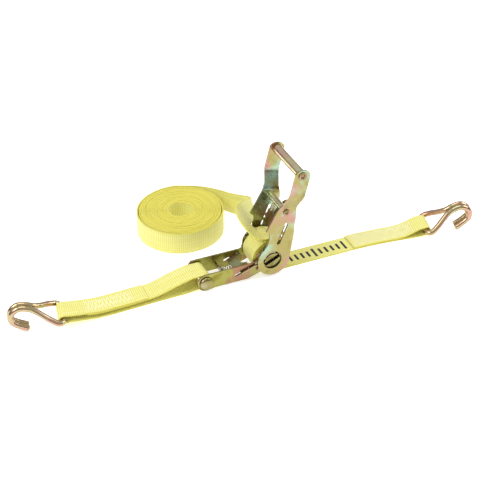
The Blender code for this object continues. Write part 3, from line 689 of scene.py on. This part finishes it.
SHAFT_TILT = 25.0
CLIP_RADIUS, CLIP_SPAN = 9.45 * MM, 48
for side, reach in (("front", -20.1 * MM), ("rear", 20.1 * MM)):
    angles = [math.radians(90 + SHAFT_TILT + step) for step in range(-CLIP_SPAN, CLIP_SPAN + 1, 4)]
    arc = [HUB + Vector((CLIP_RADIUS * math.cos(angle), reach, CLIP_RADIUS * math.sin(angle)))
           for angle in angles]
    wire(side + "_keeper_clip", arc, 0.8 * MM, 10, 0.2 * MM, spring_finish, "mandrel", "spring_wire",
         "shaft_clip_" + side)
print("springs and clips done")

# %% [markdown]
# ## Straps
# Webbing is a sheet: it bends and twists but does not stretch across. Each strap is a flat grid,
# one cell row for every couple of millimetres, laid along a centre line with a direction across
# the strap at every point. A Solidify modifier gives the weave its thickness and a bevel rounds
# the selvages. A cloth simulation would not help here, as every strap is either pulled tight or
# wound up.

# %% Lay webbing along a line
WEB_WIDTH, WEB_THICK = 25.4 * MM, 1.5 * MM
WEB_STEP = 1.6 * MM
Run = namedtuple("Run", "centres laterals lengths")


def even_run(centres, laterals, spacing):
    """The same line with evenly spaced points."""
    lengths = [0.0]
    for here, there in zip(centres, centres[1:]):
        lengths.append(lengths[-1] + (there - here).length)
    count = max(2, round(lengths[-1] / spacing))
    even_centres, even_laterals, even_lengths, index = [], [], [], 0
    for step in range(count + 1):
        goal = lengths[-1] * step / count
        while index < len(lengths) - 2 and lengths[index + 1] < goal:
            index += 1
        share = (goal - lengths[index]) / max(1e-9, lengths[index + 1] - lengths[index])
        even_centres.append(centres[index].lerp(centres[index + 1], min(1.0, share)))
        even_laterals.append(laterals[index].lerp(laterals[index + 1], min(1.0, share)).normalized())
        even_lengths.append(goal)
    return Run(even_centres, even_laterals, even_lengths)


def strap(name, run, finish, body, solids, cells=6):
    """Webbing on its run, with a map of the flat piece it was cut as."""
    steps = len(run.centres) - 1
    bm = bmesh.new()
    bmesh.ops.create_grid(bm, x_segments=steps, y_segments=cells, size=1.0)
    weave = bm.loops.layers.uv.new("weave")
    where = {}
    for vert in bm.verts:
        index = round((vert.co.x + 1) / 2 * steps)
        share = (vert.co.y + 1) / 2
        where[vert] = (share, run.lengths[index])
        vert.co = run.centres[index] + run.laterals[index] * (share - 0.5) * WEB_WIDTH
    for face in bm.faces:
        for loop in face.loops:
            loop[weave].uv = where[loop.vert]
    mesh = bpy.data.meshes.new(name)
    bm.to_mesh(mesh)
    bm.free()
    piece = bpy.data.objects.new(name, mesh)
    show(piece, finish, body, "webbing", *solids)
    thick = piece.modifiers.new("thickness", "SOLIDIFY")
    thick.thickness = WEB_THICK
    thick.offset = 0.0
    thick.use_even_offset = True
    selvage = piece.modifiers.new("selvage", "BEVEL")
    selvage.width = 0.42 * MM
    selvage.segments = 2
    selvage.angle_limit = math.radians(60)
    print(name, "is", round(run.lengths[-1] * 1000), "mm of webbing")
    return piece

# %% [markdown]
# The tightened strap runs flat along the floor from under the ratchet, goes round the far hook's
# bar and comes back over itself, where it is sewn. Near the bar it also curves gently sideways.

# %% Strap to the far hook
def turn_points(centre_x, centre_z, radius, first, last, count=20):
    """Side-view points on an arc, angles in degrees."""
    points = []
    for step in range(count + 1):
        angle = math.radians(first + (last - first) * step / count)
        points.append((centre_x + radius * math.cos(angle), centre_z + radius * math.sin(angle)))
    return points


def bar_turn(bar, yaw, facing):
    """Half a turn of webbing round a hook's bar, from below to above."""
    skew = facing / math.cos(yaw)
    points = turn_points(0.0, 0.0, LOOP_RADIUS, -90, 90)
    return [(bar.x + skew * x, bar.z + z) for x, z in points]


def sideways(points, first_x, bar, yaw):
    """Side-view points carried sideways on a curve that ends square to the bar."""
    centres, laterals = [], []
    for x, z in points:
        share = min(1.0, max(0.0, (x - first_x) / (bar.x - first_x)))
        centres.append(Vector((x, bar.y * share ** 2, z)))
        laterals.append(Vector((-math.sin(yaw * share), math.cos(yaw * share), 0.0)))
    return centres, laterals


def flat_curve(knots, count=8):
    """A smooth side-view line through (x, z) knots in millimetres."""
    return [(point.x, point.y) for point in smooth_curve([Vector((x * MM, z * MM)) for x, z in knots],
                                                         count)]


LOOP_RADIUS = WIRE_RADIUS + 0.7 * MM + WEB_THICK / 2
far_bar = Vector(JOINTS["far_hook_swing"]["pos_m"])
far_axis = JOINTS["far_hook_swing"]["axis"]
far_yaw = math.atan2(-far_axis[0], far_axis[1])
route = flat_curve([(-6, 0.78), (60, 0.78), (110, 0.78), (140, 0.78), (165, 1.15), (182, 2.15)])
route += bar_turn(far_bar, far_yaw, 1)
route += flat_curve([(184, 11.6), (165, 3.85), (140, 2.45), (104, 2.45)])
far_run = even_run(*sideways(route, 0.1, far_bar, far_yaw), WEB_STEP)
far_strap = strap("tight_webbing", far_run, printed_finish, "frame",
                  ["main_strap"])

# %% [markdown]
# The short strap is one endless loop between the ratchet's tail roller and the near hook. Its two
# ends overlap on top, where the stack is two layers thick and sewn through.

# %% Strap to the near hook
near_bar = Vector(JOINTS["near_hook_swing"]["pos_m"])
near_axis = JOINTS["near_hook_swing"]["axis"]
near_yaw = math.atan2(-near_axis[0], near_axis[1])
tail = Vector(JOINTS["anchor_strap_swing"]["pos_m"])
route = flat_curve([(-205, 10.3), (-185, 7.2), (-150, 6.2), (-128, 7.6), (-105, 14.0), (-88, 18.0)])
route += turn_points(tail.x, tail.z, 7.45 * MM, 105, -90)
route += flat_curve([(-84, 2.4), (-104, 1.0), (-160, 1.0), (-190, 2.6), (-214, 6.9), (-224, 9.2)])
route += bar_turn(near_bar, near_yaw, -1)
route += flat_curve([(-223, 16.4), (-205, 12.0), (-185, 8.9), (-150, 7.9), (-138, 8.15)])
near_run = even_run(*sideways(route, -0.11, near_bar, near_yaw), WEB_STEP)
near_strap = strap("short_webbing", near_run, webbing_finish, "anchor_strap",
                   ["anchor_strap"])

# %% [markdown]
# The roll on the ratchet's shaft starts in the slot between the two half shafts and winds out in a
# close spiral. Only its top shows, but a real spiral gives real layered edges in the gap beside it.

# %% Webbing wound on the shaft
ROLL_TURNS, ROLL_INNER, ROLL_OUTER = 5.68, 10.3 * MM, 19.15 * MM
slot_angle = math.radians(SHAFT_TILT)
slot_along = Vector((math.cos(slot_angle), 0.0, math.sin(slot_angle)))
centres = [HUB + slot_along * reach * MM for reach in (-8.5, -5.0, 0.0, 5.0, 8.4)]
wound = round(ROLL_TURNS * 72)
for step in range(2, wound + 1):
    share = step / wound
    angle = slot_angle + math.tau * ROLL_TURNS * share
    radius = ROLL_INNER + (ROLL_OUTER - ROLL_INNER) * share
    centres.append(HUB + Vector((math.cos(angle), 0.0, math.sin(angle))) * radius)
roll_run = even_run(centres, [Vector((0.0, 1.0, 0.0))] * len(centres), WEB_STEP)
strap("wound_webbing", roll_run, webbing_finish, "mandrel",
      ["strap_wrap"])

# %% [markdown]
# The spare strap is one length: almost twenty turns wound on edge into a coil, then a free stretch that
# twists flat on its way to the top of the roll and lies over it. The turns are not perfect: the
# coil is a little oval, its layers stand slightly proud of each other, and the last turn is loose
# at the two sides. Slow waves added to the spiral give that, the same on every run.

# %% Coil and free end
COIL_TURNS = 19.7
COIL_INNER, COIL_OUTER = 13.75 * MM, 47.9 * MM
COIL_STEPS, TAIL_STEPS = 90, 10              # points in a turn, and between two knots of the tail
OVAL, THREE_LOBED = 0.008, 0.005             # shares of the radius
LOOSE_GAP, LOOSE_BULGE = 0.3, 0.9            # millimetres, on the last turn
LEAVING = 0.2                                # turns over which the strap swings out to the tail
PROUD, PROUD_SMALL, COIL_LIFT = 0.45, 0.3, 0.6  # how far layers stand up from each other
coil_middle, _ = middle("strap_coil")
TAIL_ROUTE = (
    ((-37, 151.3, 12.8), (0.0, 0.0, 1.0)), ((-16, 140.5, 12.8), (0.0, 0.0, 1.0)),
    ((0, 125, 13.2), (-0.06, 0.08, 0.99)), ((9.5, 105, 16.5), (-0.1, 0.26, 0.96)),
    ((15.5, 85, 23.5), (-0.1, 0.4, 0.9)), ((16, 66, 32.5), (-0.08, 0.5, 0.86)),
    ((9.5, 48, 43), (-0.12, 0.55, 0.82)), ((-6, 33, 52), (-0.3, 0.5, 0.8)),
    ((-16, 20, 56), (-0.55, 0.25, 0.8)), ((-17.5, 11, 54.5), (-0.68, -0.2, 0.71)),
    ((-14.5, 4.5, 49.8), (-0.62, -0.65, 0.44)), ((-10.2, 0.6, 45.4), (-0.35, -0.93, 0.14)),
    ((-4.5, 0, 43.4), (0.0, -1.0, 0.0)))
tail_points = smooth_curve([Vector(place) * MM for place, _ in TAIL_ROUTE], TAIL_STEPS)
tail_sides = []
for index, side in enumerate(smooth_curve([side for _, side in TAIL_ROUTE], TAIL_STEPS)):
    ahead = (tail_points[min(index + 1, len(tail_points) - 1)]
             - tail_points[max(index - 1, 0)]).normalized()
    tail_sides.append((side - ahead * side.dot(ahead)).normalized())
leaves = tail_points[0] - coil_middle
leave_angle, leave_radius = math.atan2(leaves.y, leaves.x), Vector(leaves[:2]).length

centres, laterals = [], []
count = round(COIL_TURNS * COIL_STEPS)
for step in range(count):
    turns_done = COIL_TURNS * step / count
    to_go = COIL_TURNS - turns_done
    angle = leave_angle + math.tau * to_go
    radius = COIL_INNER + (COIL_OUTER - COIL_INNER) * turns_done / COIL_TURNS
    radius *= 1 + OVAL * math.sin(2 * angle + 0.6) + THREE_LOBED * math.sin(3 * angle)
    if to_go < 1.0:
        loose = math.sin(math.pi * to_go) ** 2
        radius += (LOOSE_GAP + LOOSE_BULGE * loose * abs(math.cos(angle))) * MM
    if to_go < LEAVING:
        share = 1 - to_go / LEAVING
        radius += (leave_radius - radius) * share ** 2
    lift = (PROUD * math.sin(turns_done * 5.1 + 1.3 * math.sin(2 * angle))
            + PROUD_SMALL * math.sin(turns_done * 2.9 + math.sin(3 * angle)))
    centres.append(Vector((coil_middle.x + radius * math.cos(angle),
                           coil_middle.y + radius * math.sin(angle),
                           WEB_WIDTH / 2 + (COIL_LIFT + lift * min(1.0, to_go * 3)) * MM * 0.8)))
    laterals.append(Vector((0.0, 0.0, 1.0)))
OVER_FROM, OVER_STEP, OVER_COUNT = 101.9, 5, 29       # degrees about the shaft, and steps
OVER_RADIUS, OVER_SETTLES, SETTLE_STEPS = 21.85, 0.95, 8  # millimetres, and steps
over = []
for step in range(1, OVER_COUNT + 1):
    angle = math.radians(OVER_FROM - OVER_STEP * step)
    radius = (OVER_RADIUS - OVER_SETTLES * min(1.0, step / SETTLE_STEPS)) * MM
    over.append(HUB + Vector((math.cos(angle), 0.0, math.sin(angle))) * radius)
coil_run = even_run(centres + tail_points + over,
                    laterals + tail_sides + [Vector((0.0, -1.0, 0.0))] * len(over), 2.4 * MM)
strap("spare_webbing", coil_run, webbing_finish, "frame",
      ["strap_coil", "tail_strap"], cells=4)

# %% [markdown]
# ## Sewing
# Both sewn joints are closed with a zigzag that crosses the strap from side to side, run twice so
# that the lines cross, with a bar of straight stitches at each end. Each stitch is a short arch of
# thread whose ends dive into the weave, drawn as a curve with a round bevel.

# %% Stitch lines on a strap
STITCH, THREAD_RADIUS = 2.6 * MM, 0.30 * MM


def on_strap(run, distance, across, lift, outside):
    """A point on a strap's face; across is in metres from its middle."""
    spacing = run.lengths[1]
    index = min(len(run.centres) - 2, max(0, int(distance / spacing)))
    share = distance / spacing - index
    centre = run.centres[index].lerp(run.centres[index + 1], share)
    lateral = run.laterals[index].lerp(run.laterals[index + 1], share).normalized()
    ahead = (run.centres[index + 1] - run.centres[index]).normalized()
    return centre + lateral * across + ahead.cross(lateral) * outside * (WEB_THICK / 2 + lift)


def stitched_lines(run, corners, outside):
    """Stitches along a zigzag of (distance, across) corners."""
    arches = []
    for (d0, a0), (d1, a1) in zip(corners, corners[1:]):
        count = max(1, round(math.hypot(d1 - d0, a1 - a0) / STITCH))
        for stitch in range(count):
            arch = []
            for share, lift in ((0.04, -0.25), (0.22, 0.14), (0.5, 0.2), (0.78, 0.14), (0.96, -0.25)):
                t = (stitch + share) / count
                arch.append(on_strap(run, d0 + (d1 - d0) * t, a0 + (a1 - a0) * t, lift * MM, outside))
            arches.append(arch)
    return arches


def sewn_joint(name, run, first, last, waves, half, outside, body, host):
    """A crossed zigzag with end bars between two distances along a strap."""
    pitch = (last - first) / (2 * waves)
    corners = [(first + pitch * step, half * (1 if step % 2 else -1)) for step in range(2 * waves + 1)]
    arches = stitched_lines(run, corners, outside)
    arches += stitched_lines(run, [(d, -a) for d, a in corners], outside)
    for end in (first - 1.5 * MM, last + 1.5 * MM):
        arches += stitched_lines(run, [(end, -half), (end, half)], outside)
    mesh = round_curve(name, arches, THREAD_RADIUS, 6)
    piece = bpy.data.objects.new(name, mesh)
    bpy.context.scene.collection.objects.link(piece)
    piece.data.materials.append(thread_finish)
    piece.data.shade_smooth()
    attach(piece, body)
    print(name, "has", len(arches), "stitches on", host.name)


# Sewing: first and last stitch back from the strap's end, zigzags, half its width
NEAR_SEWN, FAR_SEWN = (66 * MM, 17 * MM, 6, 8.2 * MM), (72 * MM, 5 * MM, 12, 10.2 * MM)
near_end, far_end = near_run.lengths[-1], far_run.lengths[-1]
sewn_joint("short_webbing_sewing", near_run, near_end - NEAR_SEWN[0], near_end - NEAR_SEWN[1],
           NEAR_SEWN[2], NEAR_SEWN[3], 1, "anchor_strap", near_strap)
sewn_joint("tight_webbing_sewing", far_run, far_end - FAR_SEWN[0], far_end - FAR_SEWN[1],
           FAR_SEWN[2], FAR_SEWN[3], -1, "frame", far_strap)

# %% [markdown]
# ## Floor and light
# The set is a plain white floor. It glows a little by itself, which keeps it white right up to the
# straps and leaves only a faint shadow under them.

# %% Floor
bm = bmesh.new()
bmesh.ops.create_grid(bm, x_segments=1, y_segments=1, size=6.0)
mesh = bpy.data.meshes.new("floor")
bm.to_mesh(mesh)
bm.free()
floor = bpy.data.objects.new("floor", mesh)
bpy.context.scene.collection.objects.link(floor)
floor_finish = bpy.data.materials.new("white_floor")
floor_finish.use_nodes = True
tree = floor_finish.node_tree
shader = tree.nodes["Principled BSDF"]
shader.inputs["Base Color"].default_value = (0.93, 0.93, 0.93, 1.0)
shader.inputs["Roughness"].default_value = 0.9
shader.inputs["Specular IOR Level"].default_value = 0.1
shader.inputs["Emission Color"].default_value = (1.0, 1.0, 1.0, 1.0)
shader.inputs["Emission Strength"].default_value = 0.5
mesh.materials.append(floor_finish)
print("floor:", round(floor.dimensions.x, 1), "metres square")

# %% [markdown]
# A big soft lamp stands at the upper left, a weaker one at the right and another overhead. Bright
# metal needs something dark to reflect, or it looks like paper. So the sky is bright overhead and
# dim near the horizon for reflections only, and plain white where the camera sees it.

# %% Sky and lamps
SKY_DIM, SKY_BRIGHT, SKY_STRENGTH = 0.12, 0.80, 0.72
SKY_DIM_UP_TO, SKY_BRIGHT_FROM = 0.14, 0.32  # heights: 0 is the horizon, 1 is overhead
world = bpy.data.worlds.new("studio")
bpy.context.scene.world = world
world.use_nodes = True
tree = world.node_tree
sky = tree.nodes["Background"]
direction = node(tree, "SeparateXYZ", {0: node(tree, "TexCoord").outputs["Generated"]}).outputs["Z"]
ramp = node(tree, "ValToRGB", {"Fac": direction})
ramp.color_ramp.elements[0].color = (SKY_DIM, SKY_DIM, SKY_DIM, 1.0)
ramp.color_ramp.elements[1].color = (1.0, 1.0, 1.0, 1.0)
for position, level in ((SKY_DIM_UP_TO, SKY_DIM), (SKY_BRIGHT_FROM, SKY_BRIGHT)):
    stop = ramp.color_ramp.elements.new(position)
    stop.color = (level, level, level, 1.0)
seen = node(tree, "LightPath").outputs["Is Camera Ray"]
tree.links.new(blended(tree, seen, ramp.outputs["Color"], (1.0, 1.0, 1.0, 1.0)), sky.inputs["Color"])
sky.inputs["Strength"].default_value = SKY_STRENGTH


def soft_light(name, place, size, power):
    """A square area lamp turned towards the middle of the floor."""
    lamp = bpy.data.objects.new(name, bpy.data.lights.new(name, "AREA"))
    lamp.data.size = size
    lamp.data.energy = power
    turned = (-Vector(place)).to_track_quat("-Z", "Y").to_matrix().to_4x4()
    lamp.matrix_world = Matrix.Translation(place) @ turned
    bpy.context.scene.collection.objects.link(lamp)


soft_light("key_light", (-1.3, -0.1, 1.2), 0.9, 13.0)
soft_light("side_light", (1.3, -0.3, 0.9), 0.7, 8.0)
soft_light("top_light", (0.0, 0.3, 1.7), 0.9, 7.0)

print("lamps:", len(bpy.data.lights))

# %% [markdown]
# ## Size
# The finished model may stand a little outside the solid one, where webbing is fuller than its plain
# stand-in.

# %% Size
bpy.context.view_layer.update()
